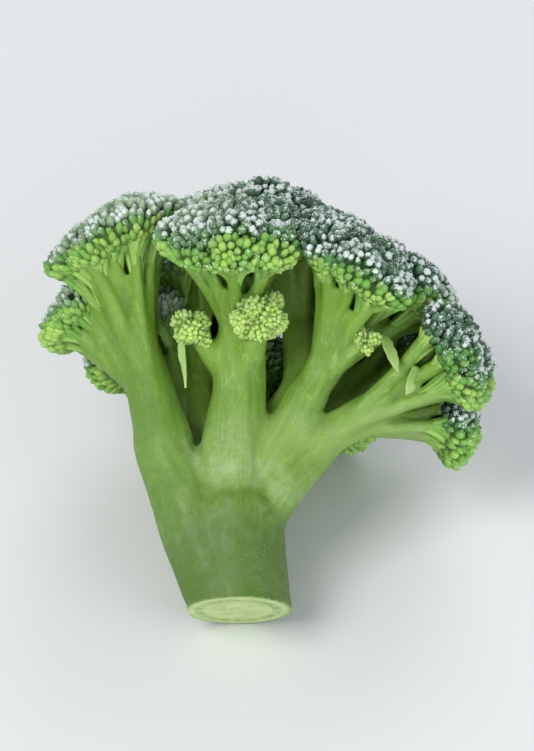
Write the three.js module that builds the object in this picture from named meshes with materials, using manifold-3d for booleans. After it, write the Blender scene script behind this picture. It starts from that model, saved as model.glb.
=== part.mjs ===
// A small broccoli head with its cut stalk, laid on its side as it comes to rest on a table.
// Millimetres, +Z up. The head is first described upright, with the centre of the stalk's cut face at
// the origin and the stalk along +Z, and the finished pieces are then laid down together.
// The stalk forks into branches, each branch forks again, and every fork ends in a bud head: a dome of
// packed flower buds. Bud heads press flat against each other where they meet.

import * as THREE from "three";
import { ConvexHull } from "three/addons/math/ConvexHull.js";
import { mergeVertices } from "three/addons/utils/BufferGeometryUtils.js";
import Module from "manifold-3d";

const wasm = await Module();
wasm.setup();

// Driving dimensions
const STALK_DIAMETER = 11;
const FORK_HEIGHT = 18; // centre of the fork, above the cut face
const CUT_ANGLE = 7; // the knife cut the stalk this many degrees off square
const GAP = 0.3; // clear space between neighbouring pieces
const SLIVER = 0.1; // detail left out of the pieces that are cut to fit
const LUMPS_PER_HEAD = 13; // swellings on each bud head
const LUMP_SHARE = 0.42; // radius of a swelling, as a share of its bud head's radius
const SPREAD = 1.42; // a bud head's width, as a share of its height
const UNDERSIDE_SHARE = 0.55; // depth of a bud head below its centre, as a share of its radius
const TWIG_TAPER = 0.62; // a twig's radius, as a share of its branch's radius
const BRANCH_FOOT = 1.3; // a branch's radius where it leaves the stalk, as a share of its own radius
const BRANCH_TIP = 0.92; // the same where it forks
const BRANCH_START = 1.5; // how far off the stalk's line a branch begins

// The stalk's outline, as shares of its length and of its radius
const WAIST_AT = 0.42; // where it is thinnest
const CUT_FLARE = 0.22; // how fast it widens away from its waist
const FORK_FLARE = 0.16; // how much wider it is under the fork
const CLOSES_AT = 0.75; // where its top begins to close over inside the fork
const CLOSES_BY = 0.4; // how much narrower that leaves its top

// Directions are an azimuth round the stalk (0 is +X, 90 is +Y) and a lean away from the stalk's line.
// A branch leaves the stalk's line at `height`, leaning `leaves`, and forks `reach` from the fork's centre.
const BRANCHES = {
  branch_left: { azimuth: 194, height: 8, leaves: 50, lean: 31, reach: 13.9, radius: 2.7 },
  branch_front: { azimuth: 308, height: 13.5, leaves: 22, lean: 29, reach: 11.4, radius: 2.9 },
  branch_right: { azimuth: 348, height: 12.5, leaves: 52, lean: 60, reach: 15.7, radius: 2.2 },
  branch_low_right: { azimuth: 359, height: 10.5, leaves: 68, lean: 82, reach: 17.8, radius: 2.4 },
  branch_top: { azimuth: 5, height: 14, leaves: 32, lean: 41, reach: 15.4, radius: 2.2 },
  branch_back_left: { azimuth: 113, height: 10, leaves: 44, lean: 29, reach: 11.6, radius: 2.5 },
  branch_back: { azimuth: 61, height: 9, leaves: 58, lean: 57, reach: 12.4, radius: 2.5 },
  branch_back_right: { azimuth: 26, height: 11.5, leaves: 58, lean: 62, reach: 16.4, radius: 2.5 },
};
const BUD_HEADS = {
  bud_head_left: { on: "branch_left", azimuth: 212, lean: 21, reach: 22.8, radius: 6.8 },
  bud_head_left_low: { on: "branch_left", azimuth: 180, lean: 32, reach: 20.3, radius: 5.3 },
  bud_head_front: { on: "branch_front", azimuth: 298, lean: 31, reach: 20.7, radius: 7 },
  bud_head_front_right: { on: "branch_right", azimuth: 333, lean: 50, reach: 22.8, radius: 6.4 },
  bud_head_right: { on: "branch_right", azimuth: 357, lean: 58, reach: 24.6, radius: 6 },
  bud_head_right_low: { on: "branch_low_right", azimuth: 355, lean: 77, reach: 25.4, radius: 5.5 },
  bud_head_right_drop: { on: "branch_low_right", azimuth: 10, lean: 86, reach: 23.9, radius: 4.8 },
  bud_head_top: { on: "branch_top", azimuth: 4, lean: 18, reach: 23.4, radius: 7.2 },
  bud_head_back_left: { on: "branch_back_left", azimuth: 94, lean: 25, reach: 22.3, radius: 6.8 },
  bud_head_back_left_low: { on: "branch_back_left", azimuth: 135, lean: 30, reach: 17.5, radius: 5.9 },
  bud_head_back: { on: "branch_back", azimuth: 80, lean: 50, reach: 17.7, radius: 6.3 },
  bud_head_back_low: { on: "branch_back", azimuth: 50, lean: 61, reach: 20.4, radius: 6.3 },
  bud_head_back_right: { on: "branch_back_right", azimuth: 32, lean: 43, reach: 24.8, radius: 6.9 },
  bud_head_back_right_low: { on: "branch_back_right", azimuth: 24, lean: 67, reach: 24.4, radius: 6.1 },
};
// Pale young shoots on the open front of the head, each a small bud head on a stem that leaves a branch
// a share `at` of the way along.
const SIDE_SHOOTS = {
  side_shoot_front: { on: "branch_front", at: 0.85, azimuth: 307, lean: 41, reach: 15.2, radius: 3.6 },
  side_shoot_left: { on: "branch_front", at: 0.8, azimuth: 260, lean: 30, reach: 13.4, radius: 2.3 },
  side_shoot_right: { on: "branch_right", at: 0.9, azimuth: 343, lean: 66, reach: 19.4, radius: 1.8 },
};
// Scale leaves on the branches. Each faces out at an azimuth and hangs by an angle from straight up.
const BRACTS = {
  bract_front: { azimuth: 254, lean: 37, reach: 13.1, faces: 236, hangs: 172, length: 5.8, width: 1.7 },
  bract_right: { azimuth: 346, lean: 67, reach: 21.0, faces: 300, hangs: 150, length: 5.4, width: 2.6 },
  bract_low_right: { azimuth: 353, lean: 85, reach: 20.4, faces: 310, hangs: 40, length: 4.2, width: 2.8 },
};
const BRACT_THICKNESS = 0.9;
const BRACT_BEND = 0.16; // how far a scale leaf curls, as a share of its length

const COLOURS = {
  stalk: { color: 0xa9c27c, roughness: 0.55 },
  branch: { color: 0x96b862, roughness: 0.55 },
  buds: { color: 0x3d6b43, roughness: 0.85 },
  shoot: { color: 0xb4d076, roughness: 0.7 },
  bract: { color: 0xa6cc6a, roughness: 0.6 },
};

const FORK = new THREE.Vector3(0, 0, FORK_HEIGHT);
const UP = new THREE.Vector3(0, 0, 1);

function direction(azimuth, lean) {
  const a = THREE.MathUtils.degToRad(azimuth);
  const l = THREE.MathUtils.degToRad(lean);
  return new THREE.Vector3(Math.sin(l) * Math.cos(a), Math.sin(l) * Math.sin(a), Math.cos(l));
}

function fromFork({ azimuth, lean, reach }) {
  return direction(azimuth, lean).multiplyScalar(reach).add(FORK);
}

// Evenly spread unit vectors: a spiral that turns by the golden angle, as florets do.
function spiral(count) {
  const turn = Math.PI * (3 - Math.sqrt(5));
  return Array.from({ length: count }, (_, i) => {
    const z = 1 - (2 * i + 1) / count;
    const r = Math.sqrt(1 - z * z);
    return new THREE.Vector3(r * Math.cos(i * turn), r * Math.sin(i * turn), z);
  });
}

function toSolid(geometry) {
  const bare = geometry.clone();
  for (const name of ["normal", "uv"]) bare.deleteAttribute(name);
  const merged = mergeVertices(bare, 1e-4);
  return new wasm.Manifold(
    new wasm.Mesh({
      numProp: 3,
      vertProperties: Float32Array.from(merged.attributes.position.array),
      triVerts: Uint32Array.from(merged.index.array),
    }),
  );
}

function toGeometry(solid) {
  const mesh = solid.getMesh();
  const geometry = new THREE.BufferGeometry();
  geometry.setAttribute("position", new THREE.BufferAttribute(mesh.vertProperties, 3));
  geometry.setIndex(new THREE.BufferAttribute(mesh.triVerts, 1));
  geometry.computeVertexNormals();
  return geometry;
}

// A closed stem along a curve: a cylinder's rings are carried along it from its top at t = 0 to its
// foot at t = 1, where its radius is radiusAt(t).
function stem(curve, radiusAt, sides, steps) {
  const geometry = new THREE.CylinderGeometry(1, 1, 1, sides, steps);
  const { normals, binormals } = curve.computeFrenetFrames(steps, false);
  const position = geometry.attributes.position;
  const vertex = new THREE.Vector3();
  for (let i = 0; i < position.count; i++) {
    vertex.fromBufferAttribute(position, i);
    const t = 0.5 - vertex.y;
    const step = Math.round(t * steps);
    const r = radiusAt(t);
    const onCurve = curve.getPointAt(t);
    onCurve.addScaledVector(normals[step], r * vertex.x);
    onCurve.addScaledVector(binormals[step], r * vertex.z);
    position.setXYZ(i, onCurve.x, onCurve.y, onCurve.z);
  }
  return toSolid(geometry);
}

const blend = THREE.MathUtils.lerp;

// The stalk: nearly round and a little waisted, swelling below the fork and closing over inside it.
function stalk(grow) {
  const top = FORK_HEIGHT - 1;
  const curve = new THREE.CatmullRomCurve3([
    new THREE.Vector3(-0.6, 0, -3),
    new THREE.Vector3(0.2, 0, top * 0.5),
    new THREE.Vector3(0, 0, top),
  ]);
  const radiusAt = (t) => {
    const closing = Math.max(0, t - CLOSES_AT) / (1 - CLOSES_AT);
    const flare = CUT_FLARE * (t - WAIST_AT) ** 2 + FORK_FLARE * t ** 4;
    return (STALK_DIAMETER / 2) * (1 + flare - CLOSES_BY * closing ** 2) + grow;
  };
  const body = stem(curve, radiusAt, 20, 10);
  const knife = new THREE.BoxGeometry(60, 60, 20).translate(0, 0, -10);
  knife.rotateY(THREE.MathUtils.degToRad(CUT_ANGLE));
  return body.subtract(toSolid(knife));
}

function headsOn(name) {
  return Object.values(BUD_HEADS).filter((head) => head.on === name);
}

// The way a branch points where it forks: at the middle of its bud heads.
function arrival(name) {
  const heads = headsOn(name);
  const middle = heads.reduce((sum, head) => sum.add(fromFork(head)), new THREE.Vector3());
  return middle.divideScalar(heads.length).sub(fromFork(BRANCHES[name])).normalize();
}

// A branch's line, from inside the stalk to its own fork.
function branchLine(name) {
  const { azimuth, height, leaves } = BRANCHES[name];
  const start = new THREE.Vector3(0, 0, height).addScaledVector(direction(azimuth, 90), BRANCH_START);
  const end = fromFork(BRANCHES[name]);
  const pull = start.distanceTo(end) / 2.6;
  return new THREE.CubicBezierCurve3(
    start,
    start.clone().addScaledVector(direction(azimuth, leaves), pull),
    end.clone().addScaledVector(arrival(name), -pull),
    end,
  );
}

// A branch: a stem along its line, and a twig from its fork to each of its bud heads.
function branch(name, grow) {
  const { radius } = BRANCHES[name];
  const end = fromFork(BRANCHES[name]);
  const arrives = arrival(name);
  const heads = headsOn(name);
  let solid = stem(branchLine(name), (t) => radius * blend(BRANCH_FOOT, BRANCH_TIP, t) + grow, 11, 7);
  for (const head of heads) {
    const centre = fromFork(head);
    const away = centre.clone().sub(end).normalize();
    const twig = new THREE.QuadraticBezierCurve3(
      end.clone().addScaledVector(arrives, -radius * 1.4),
      end.clone().addScaledVector(arrives, radius * 0.7),
      centre.addScaledVector(away, -head.radius * 0.3),
    );
    const thin = heads.length > 1 ? TWIG_TAPER : 0.9;
    solid = solid.add(stem(twig, (t) => radius * blend(0.9, thin, t) + grow, 11, 4));
  }
  return solid;
}

// The distance from a bud head's centre to the outermost of its swellings, in the direction of a ray.
function lumpy(radius, axis) {
  const turned = new THREE.Quaternion().setFromUnitVectors(UP, axis);
  const lumpRadius = radius * LUMP_SHARE;
  const lumps = spiral(LUMPS_PER_HEAD).map((v) =>
    v.applyQuaternion(turned).multiplyScalar(radius - lumpRadius),
  );
  return (ray) => {
    let r = radius * 0.86;
    for (const lump of lumps) {
      const along = lump.dot(ray);
      const inside = lumpRadius ** 2 - lump.lengthSq() + along ** 2;
      if (inside > 0) r = Math.max(r, along + Math.sqrt(inside));
    }
    return r;
  };
}

// A closed ball of triangles round a centre, its corners moved out along their rays by `place`.
function ball(centre, detail, place) {
  const geometry = new THREE.IcosahedronGeometry(1, detail);
  const position = geometry.attributes.position;
  const corner = new THREE.Vector3();
  for (let i = 0; i < position.count; i++) {
    place(corner.fromBufferAttribute(position, i).normalize());
    corner.add(centre);
    position.setXYZ(i, corner.x, corner.y, corner.z);
  }
  return toSolid(geometry);
}

// A bud head: lumpy, drawn in below to meet its twig, spread sideways, and stopped halfway to each
// neighbouring bud head.
function budHead(name, grow) {
  const head = BUD_HEADS[name];
  const centre = fromFork(head);
  const axis = direction(head.azimuth, head.lean);
  const lumps = lumpy(head.radius, axis);
  const walls = Object.entries(BUD_HEADS)
    .filter(([other]) => other !== name)
    .map(([, other]) => {
      const to = fromFork(other).sub(centre);
      const apart = to.length();
      const share = (apart * apart + head.radius ** 2 - other.radius ** 2) / (2 * apart);
      return { normal: to.normalize(), distance: share - GAP / 2 };
    });
  return ball(centre, 3, (ray) => {
    const below = Math.max(0, -axis.dot(ray));
    let r = lumps(ray) * (1 - (1 - UNDERSIDE_SHARE) * below ** 1.5);
    const upright = axis.clone().multiplyScalar(axis.dot(ray));
    ray.sub(upright).multiplyScalar(SPREAD).add(upright);
    r *= ray.length();
    ray.normalize();
    for (const { normal, distance } of walls) {
      const towards = normal.dot(ray);
      if (towards > 0) r = Math.min(r, distance / towards);
    }
    ray.multiplyScalar(r + grow);
  });
}

// A side shoot: a lumpy ball on a short stem.
function sideShoot(place, grow) {
  const centre = fromFork(place);
  const root = branchLine(place.on).getPointAt(place.at);
  const lumps = lumpy(place.radius, direction(place.azimuth, place.lean));
  const knob = ball(centre, 2, (ray) => ray.multiplyScalar(lumps(ray) + grow));
  return knob.add(stem(new THREE.LineCurve3(root, centre), () => place.radius * 0.5 + grow, 10, 2));
}

// A scale leaf: a flattened, pointed drop that curls along its length.
function bract(place) {
  const geometry = new THREE.SphereGeometry(0.5, 12, 8);
  const position = geometry.attributes.position;
  const point = new THREE.Vector3();
  for (let i = 0; i < position.count; i++) {
    point.fromBufferAttribute(position, i);
    const along = point.y + 0.5;
    const narrow = Math.sqrt(1.15 - along);
    const curl = BRACT_BEND * along ** 2 * place.length;
    position.setXYZ(
      i,
      point.x * place.width * narrow,
      along * place.length,
      point.z * BRACT_THICKNESS * narrow + curl,
    );
  }
  const out = direction(place.faces, 90);
  const side = new THREE.Vector3().crossVectors(UP, out);
  const hang = UP.clone().applyAxisAngle(side, THREE.MathUtils.degToRad(place.hangs));
  const face = new THREE.Vector3().crossVectors(side, hang);
  const frame = new THREE.Matrix4().makeBasis(side, hang, face).setPosition(fromFork(place));
  return toSolid(geometry.applyMatrix4(frame));
}

// The biggest body that is left of a solid when the cutters have been taken away. Slivers are merged
// away across the cuts too, once the body counts as an original one.
function trim(solid, cutters) {
  const left = cutters.reduce((rest, cutter) => rest.subtract(cutter), solid);
  return left.decompose().sort((a, b) => b.volume() - a.volume())[0].asOriginal().simplify(SLIVER);
}

const head = new THREE.Group();

function addPiece(name, solid, { color, roughness }) {
  const material = new THREE.MeshStandardMaterial({ color, roughness, metalness: 0 });
  const mesh = new THREE.Mesh(toGeometry(solid), material);
  mesh.name = name;
  head.add(mesh);
}

// Each piece is cut back by the ones before it, grown by the gap.
const taken = [stalk(GAP)];
addPiece("stalk", stalk(0), COLOURS.stalk);
for (const name of Object.keys(BUD_HEADS)) {
  addPiece(name, budHead(name, 0), COLOURS.buds);
  taken.push(budHead(name, GAP));
}
for (const name of Object.keys(BRANCHES)) {
  addPiece(name, trim(branch(name, 0), taken), COLOURS.branch);
  taken.push(branch(name, GAP));
}
for (const [name, place] of Object.entries(SIDE_SHOOTS)) {
  addPiece(name, trim(sideShoot(place, 0), taken), COLOURS.shoot);
  taken.push(sideShoot(place, GAP));
}
for (const [name, place] of Object.entries(BRACTS)) {
  addPiece(name, trim(bract(place), taken), COLOURS.bract);
}

// Laying down: the head rolls from its back onto the flat of its convex hull that holds it still.
function pointsOf(group) {
  return group.children.flatMap(({ geometry }) => {
    const { position } = geometry.attributes;
    return Array.from({ length: position.count }, (_, i) =>
      new THREE.Vector3().fromBufferAttribute(position, i),
    );
  });
}

function massCentre(group) {
  const sum = new THREE.Vector3();
  let volume = 0;
  for (const { geometry } of group.children) {
    const { index, attributes } = geometry;
    const [a, b, c] = [0, 0, 0].map(() => new THREE.Vector3());
    for (let i = 0; i < index.count; i += 3) {
      [a, b, c].forEach((corner, k) => corner.fromBufferAttribute(attributes.position, index.getX(i + k)));
      const wedge = a.dot(b.clone().cross(c)) / 6;
      volume += wedge;
      sum.addScaledVector(a.clone().add(b).add(c), wedge / 4);
    }
  }
  return sum.divideScalar(volume);
}

function restingNormal(group, start) {
  const hull = new ConvexHull().setFromPoints(pointsOf(group));
  const centre = massCentre(group);
  let down = start.clone().normalize();
  for (let roll = 0; roll < 50; roll++) {
    const depth = (face) => (face.constant - face.normal.dot(centre)) / face.normal.dot(down);
    const below = hull.faces.filter((face) => face.normal.dot(down) > 1e-6);
    const floor = below.reduce((best, face) => (depth(face) < depth(best) ? face : best));
    if (floor.normal.distanceTo(down) < 1e-9) break;
    down = floor.normal.clone();
  }
  return down;
}

const down = restingNormal(head, new THREE.Vector3(0, 1, -0.6));
head.quaternion.setFromUnitVectors(down, UP.clone().negate());
head.updateMatrixWorld(true);
const box = new THREE.Box3().setFromObject(head, true);
head.position.set(-(box.min.x + box.max.x) / 2, -(box.min.y + box.max.y) / 2, -box.min.z);

// The origin is on the table, under the middle of the head's box.
const broccoli = new THREE.Group();
broccoli.add(head);
export default broccoli;
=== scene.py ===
import bpy
import numpy as np
from mathutils import Matrix, Vector


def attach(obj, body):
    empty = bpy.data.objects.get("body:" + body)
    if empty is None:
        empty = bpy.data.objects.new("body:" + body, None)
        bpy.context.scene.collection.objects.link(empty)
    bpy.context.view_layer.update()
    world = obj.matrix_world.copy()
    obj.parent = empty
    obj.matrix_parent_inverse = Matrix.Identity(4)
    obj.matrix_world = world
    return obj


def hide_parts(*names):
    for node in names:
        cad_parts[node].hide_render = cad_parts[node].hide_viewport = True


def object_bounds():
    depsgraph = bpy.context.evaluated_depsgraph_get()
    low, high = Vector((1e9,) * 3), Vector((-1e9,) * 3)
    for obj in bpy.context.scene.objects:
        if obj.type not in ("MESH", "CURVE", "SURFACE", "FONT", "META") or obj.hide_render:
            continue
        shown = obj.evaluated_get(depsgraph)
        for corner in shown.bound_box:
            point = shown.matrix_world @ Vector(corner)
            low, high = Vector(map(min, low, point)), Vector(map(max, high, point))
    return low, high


# A small broccoli head, frosted, lying on its back. Shapes are worked out in millimetres and written
# to their meshes in metres. The CAD solids give every place and size: each bud head becomes a cap of
# flower buds, and the stalk, its branches and their twigs become one grown body.

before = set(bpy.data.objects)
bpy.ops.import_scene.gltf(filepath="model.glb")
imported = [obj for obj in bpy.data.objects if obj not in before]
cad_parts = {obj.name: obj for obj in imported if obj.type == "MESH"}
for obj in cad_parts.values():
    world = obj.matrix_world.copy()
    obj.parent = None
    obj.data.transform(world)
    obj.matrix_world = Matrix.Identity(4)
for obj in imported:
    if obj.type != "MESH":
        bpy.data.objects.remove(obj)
cad_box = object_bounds()

MM = 0.001
SEED = 20
UP = np.array([0.0, 0.0, 1.0])

# Which bud heads each branch carries
CARRIED = {
    "branch_left": ["bud_head_left", "bud_head_left_low"],
    "branch_front": ["bud_head_front"],
    "branch_right": ["bud_head_front_right", "bud_head_right"],
    "branch_low_right": ["bud_head_right_low", "bud_head_right_drop"],
    "branch_top": ["bud_head_top"],
    "branch_back_left": ["bud_head_back_left", "bud_head_back_left_low"],
    "branch_back": ["bud_head_back", "bud_head_back_low"],
    "branch_back_right": ["bud_head_back_right", "bud_head_back_right_low"],
}
HEADS = [head for heads in CARRIED.values() for head in heads]
SHOOTS = ["side_shoot_front", "side_shoot_left", "side_shoot_right"]
BRACTS = ["bract_front", "bract_right", "bract_low_right"]
# How much further than elsewhere the pale underside climbs a bud head, or less far below 0
SHADE_BIAS = {
    "bud_head_front": 0.31,
    "bud_head_front_right": -0.10,
    "bud_head_left": 0.18,
    "bud_head_left_low": 0.34,
    "bud_head_right": -0.12,
    "bud_head_right_low": -0.12,
}
# Where the buds end, in degrees from the top of a bud head: sooner on the open front, where twigs show
RIM = {
    "bud_head_front": 93.0,
    "bud_head_left": 84.0,
    "bud_head_left_low": 90.0,
    "bud_head_front_right": 88.0,
    "bud_head_right": 90.0,
    "bud_head_right_low": 90.0,
    "bud_head_right_drop": 90.0,
    "bud_head_top": 96.0,
}
RIM_ELSEWHERE = 102.0
# How much stouter than its CAD solid a branch grows
STOUTNESS = {"branch_left": 1.20}

# Sizes, in millimetres
BUD_SPACING = 0.90
BUD_LENGTH = 1.60
BUD_WIDTH = 1.10
BUD_SEAT = 1.0  # depth of the buds' seats under the CAD surface
PEDICEL_RADIUS = 0.36  # of the thin stalk of each bud near the rim
CLUSTER_WIDTH = 5.2  # across the small swellings that each bud head is made of
CREASE_DEPTH = 1.0  # of the creases between swellings, and how wide they are
CREASE_WIDTH = 1.1
GRAIN_SIZE = 0.112  # from the middle of an ice grain to its tips, at most, before it is stretched
FLOOR_CLEARANCE = 0.03  # between the lowest buds and the floor
VOXEL = 0.355  # cell of the mesh that joins the stems
HAZE_FULL = -11.0  # world x at which the frost haze is at its thickest, and where it is at its thinnest
HAZE_END = 0.0

# Shares and counts
FULLNESS = 1.09  # how much wider than its CAD solid each bud head grows, so that its neighbours meet
UNDERCUT = 0.74  # how far a bud head draws in below its rim, as a share of its radius
BUD_PACKING = 0.75  # the area that each bud takes, as a share of its spacing squared
BUD_SINK = 0.44  # how much of its length a bud sits below its seat
LEAST_CLUSTER = 0.55  # the narrowest swellings, as a share of CLUSTER_WIDTH
CLUSTER_PICKS = 1500  # random points among which the middles of the swellings are chosen
PICKS_PER_BUD = 12  # random points for each bud, among which the buds' places are chosen
LLOYD_ROUNDS = 9
GRAINS_PER_BUD = 7.6
HAZE_LEAST = 0.12  # the thinnest frost haze, as a share of the thickest

# Angles, in degrees
BUD_OVERHANG = 14.0  # how far the buds run on below the rim of their cap
PEDICELS_FROM = 34.0  # how far above the rim the buds' stalks begin to show

# The side shoots: round knobs of small, pale, nearly bare buds
SHOOT_RIM = 150.0
SHOOT_UNDERCUT = 0.2
SHOOT_SPACING = 0.50
SHOOT_RELIEF = 0.9  # how far its swellings stand out, as a share of a bud head's
SHOOT_SHADE = 0.2
SHOOT_FROST = 0.2


# ---------------------------------------------------------------- measuring the CAD solids

def triangles(node):
    """A CAD node's triangles in millimetres, as an array of (triangle, corner, xyz)."""
    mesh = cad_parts[node].data
    mesh.calc_loop_triangles()
    points = np.empty(len(mesh.vertices) * 3)
    mesh.vertices.foreach_get("co", points)
    corners = np.empty(len(mesh.loop_triangles) * 3, int)
    mesh.loop_triangles.foreach_get("vertices", corners)
    return points.reshape(-1, 3)[corners].reshape(-1, 3, 3) / MM


def unit(v):
    """Vectors scaled to length 1, along the last axis."""
    return v / np.maximum(np.linalg.norm(v, axis=-1, keepdims=True), 1e-12)


def smoothstep(low, high, x):
    """0 below low, 1 above high, and 3t^2 - 2t^3 between them."""
    t = np.clip((x - low) / (high - low), 0.0, 1.0)
    return t * t * (3.0 - 2.0 * t)


def areas_of(tris):
    """Each triangle's area vector: half the cross product of two of its sides."""
    return np.cross(tris[:, 1] - tris[:, 0], tris[:, 2] - tris[:, 0]) / 2.0


def middles_of(tris):
    """Each triangle's middle, and its area."""
    return tris.mean(axis=1), np.linalg.norm(areas_of(tris), axis=1)


def surface_centre(tris):
    """The mean point of a surface, each triangle weighted by its area."""
    middles, area = middles_of(tris)
    return (middles * area[:, None]).sum(axis=0) / area.sum()


def off_a_line(points, start, axis):
    """How far along a line each point lies from its start, and the vector from the line to the point."""
    along = (points - start) @ axis
    return along, points - start - along[:, None] * axis


def frame_along(axis):
    """Two unit vectors at right angles to an axis and to each other."""
    side = unit(np.cross(axis, UP if abs(axis[2]) < 0.9 else np.array([1.0, 0.0, 0.0])))
    return side, np.cross(axis, side)


def reach(centre, rays, tris):
    """How far each ray runs from a centre to the triangles: the t for which centre + t * ray lies in one
    (Moller and Trumbore's test, on every ray and triangle at once)."""
    a = tris[:, 0] - centre
    e1 = tris[:, 1] - tris[:, 0]
    e2 = tris[:, 2] - tris[:, 0]
    p = np.cross(rays[:, None], e2[None])
    det = (p * e1).sum(-1)
    det = np.where(np.abs(det) < 1e-12, 1e-12, det)
    u = -(p * a).sum(-1) / det
    q = np.cross(-a, e1)
    v = (rays[:, None] * q[None]).sum(-1) / det
    t = (q * e2).sum(-1)[None] / det
    slack = 1e-4
    inside = (u > -slack) & (v > -slack) & (u + v < 1.0 + slack) & (t > 0.0)
    return np.where(inside, t, 0.0).max(axis=1)


class Stalk:
    """The stalk's cut face and line, from its CAD solid: the cut is its largest flat, and its line runs
    from the middle of the cut to the middle of the far end."""

    def __init__(self):
        tris = triangles("stalk")
        area = areas_of(tris)
        size = np.linalg.norm(area, axis=1)
        normal = unit(area)
        alike = (normal @ normal.T) > 0.9999
        best = np.argmax(alike @ size)
        flat = alike[best]
        self.cut_normal = normal[best]
        self.cut = surface_centre(tris[flat])
        depth = -(tris.reshape(-1, 3) - self.cut) @ self.cut_normal
        self.length = depth.max()
        top = tris.reshape(-1, 3)[depth > 0.93 * self.length].mean(axis=0)
        self.axis = unit(top - self.cut)
        along, off = off_a_line(tris.reshape(-1, 3), self.cut, self.axis)
        between = (along > 0.2 * self.length) & (along < 0.75 * self.length)
        self.radius = np.median(np.linalg.norm(off[between], axis=1))


STALK = Stalk()
FORK = STALK.cut + STALK.axis * STALK.length


# ---------------------------------------------------------------- meshes from arrays

class Shapes:
    """Collects closed shells, with their faces, material numbers and vertex values, into one mesh."""

    def __init__(self, values):
        self.values = {name: [] for name in values}
        self.points = []
        self.faces = []
        self.materials = []
        self.count = 0

    def add(self, points, faces, material=0, **values):
        """Adds points, faces as a list of index arrays with 3 or 4 columns, and one number or array of
        each named vertex value."""
        points = points.reshape(-1, 3)
        self.points.append(points)
        for block in faces:
            self.faces.append(block + self.count)
            self.materials.append(np.full(len(block), material))
        for name, kept in self.values.items():
            kept.append(np.broadcast_to(values.get(name, 0.0), len(points)))
        self.count += len(points)

    def build(self, name, materials):
        """Writes the mesh in metres and returns its object."""
        mesh = bpy.data.meshes.new(name)
        points = np.concatenate(self.points) * MM
        corners = np.concatenate([block.reshape(-1) for block in self.faces])
        sizes = np.concatenate([np.full(len(block), block.shape[1]) for block in self.faces])
        starts = np.concatenate([[0], np.cumsum(sizes)[:-1]])
        mesh.vertices.add(len(points))
        mesh.vertices.foreach_set("co", points.reshape(-1))
        mesh.loops.add(len(corners))
        mesh.loops.foreach_set("vertex_index", corners.astype(np.int32))
        mesh.polygons.add(len(sizes))
        mesh.polygons.foreach_set("loop_start", starts.astype(np.int32))
        mesh.polygons.foreach_set("material_index", np.concatenate(self.materials).astype(np.int32))
        mesh.update(calc_edges=True)
        mesh.validate()
        mesh.shade_smooth()
        for key, kept in self.values.items():
            layer = mesh.attributes.new(key, "FLOAT", "POINT")
            layer.data.foreach_set("value", np.concatenate(kept).astype(np.float32))
        for material in materials:
            mesh.materials.append(material)
        piece = bpy.data.objects.new(name, mesh)
        bpy.context.scene.collection.objects.link(piece)
        return piece


def grid_faces(rows, columns):
    """Faces of a closed shell: point 0 is the first pole, then rows rings of columns points, then the last
    pole. Quads join neighbouring rings and triangles close the poles. They face out if the rings run
    anticlockwise as seen from the first pole, and in if they run clockwise."""
    ring = np.arange(columns)
    after = (ring + 1) % columns
    row = 1 + np.arange(rows - 1)[:, None] * columns
    quads = np.stack([row + ring, row + columns + ring, row + columns + after, row + after], axis=-1)
    last = 1 + (rows - 1) * columns
    first_cap = np.stack([np.zeros(columns, int), 1 + ring, 1 + after], axis=-1)
    last_cap = np.stack([np.full(columns, last + columns), last + after, last + ring], axis=-1)
    return [quads.reshape(-1, 4), first_cap, last_cap]


def copies(template, origins, bases, scales):
    """One template, of (point, xyz), placed many times: origin + basis * (template * scale). Returns an
    array of (copy, point, xyz)."""
    return origins[:, None] + np.einsum("npk,nkj->npj", template[None] * scales[:, None], bases)


def copy_faces(faces, count, size):
    """The faces of count copies of a template that has size points."""
    step = np.arange(count)[:, None, None] * size
    return [(block[None] + step).reshape(-1, block.shape[1]) for block in faces]


def bases_along(axes, spin):
    """For each unit axis, a turned basis whose third row is the axis and whose first row is spun round it
    by an angle."""
    helper = np.where(np.abs(axes[:, 2:3]) < 0.9, UP, np.array([1.0, 0.0, 0.0]))
    x = unit(np.cross(helper, axes))
    y = np.cross(axes, x)
    c, s = np.cos(spin)[:, None], np.sin(spin)[:, None]
    return np.stack([c * x + s * y, c * y - s * x, axes], axis=1)


# ---------------------------------------------------------------- flower buds

BUD_SIDES = 7
BUD_RINGS = np.array([0.08, 0.30, 0.58, 0.82, 0.95])
BUD_HALF_WIDTHS = np.array([0.26, 0.46, 0.50, 0.38, 0.17])


def bud_radius(t):
    """A bud's half width at height t of 0 to 1, fullest just above the middle, from its ring widths."""
    heights = np.concatenate([[0.0], BUD_RINGS, [1.0]])
    half_widths = np.concatenate([[0.0], BUD_HALF_WIDTHS, [0.0]])
    return np.interp(t, heights, half_widths)


def bud_template():
    """A closed flower bud 1 high and 1 wide on the Z axis, with its base at the origin: its sepals meet
    along its sides, so its section is r = bud_radius(t) * (1 + 0.06 cos 3a)."""
    a = np.arange(BUD_SIDES) * 2.0 * np.pi / BUD_SIDES
    r = bud_radius(BUD_RINGS)[:, None] * (1.0 + 0.06 * np.cos(3.0 * a))
    z = np.repeat(BUD_RINGS[:, None], BUD_SIDES, axis=1)
    rings = np.stack([r * np.cos(a), r * np.sin(a), z], axis=-1).reshape(-1, 3)
    return np.concatenate([[[0.0, 0.0, 0.0]], rings, [[0.0, 0.0, 1.0]]])


BUD = bud_template()
# The rings of a bud run clockwise as seen from its base, so its faces are turned round
BUD_FACES = [block[:, ::-1] for block in grid_faces(len(BUD_RINGS), BUD_SIDES)]


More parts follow.
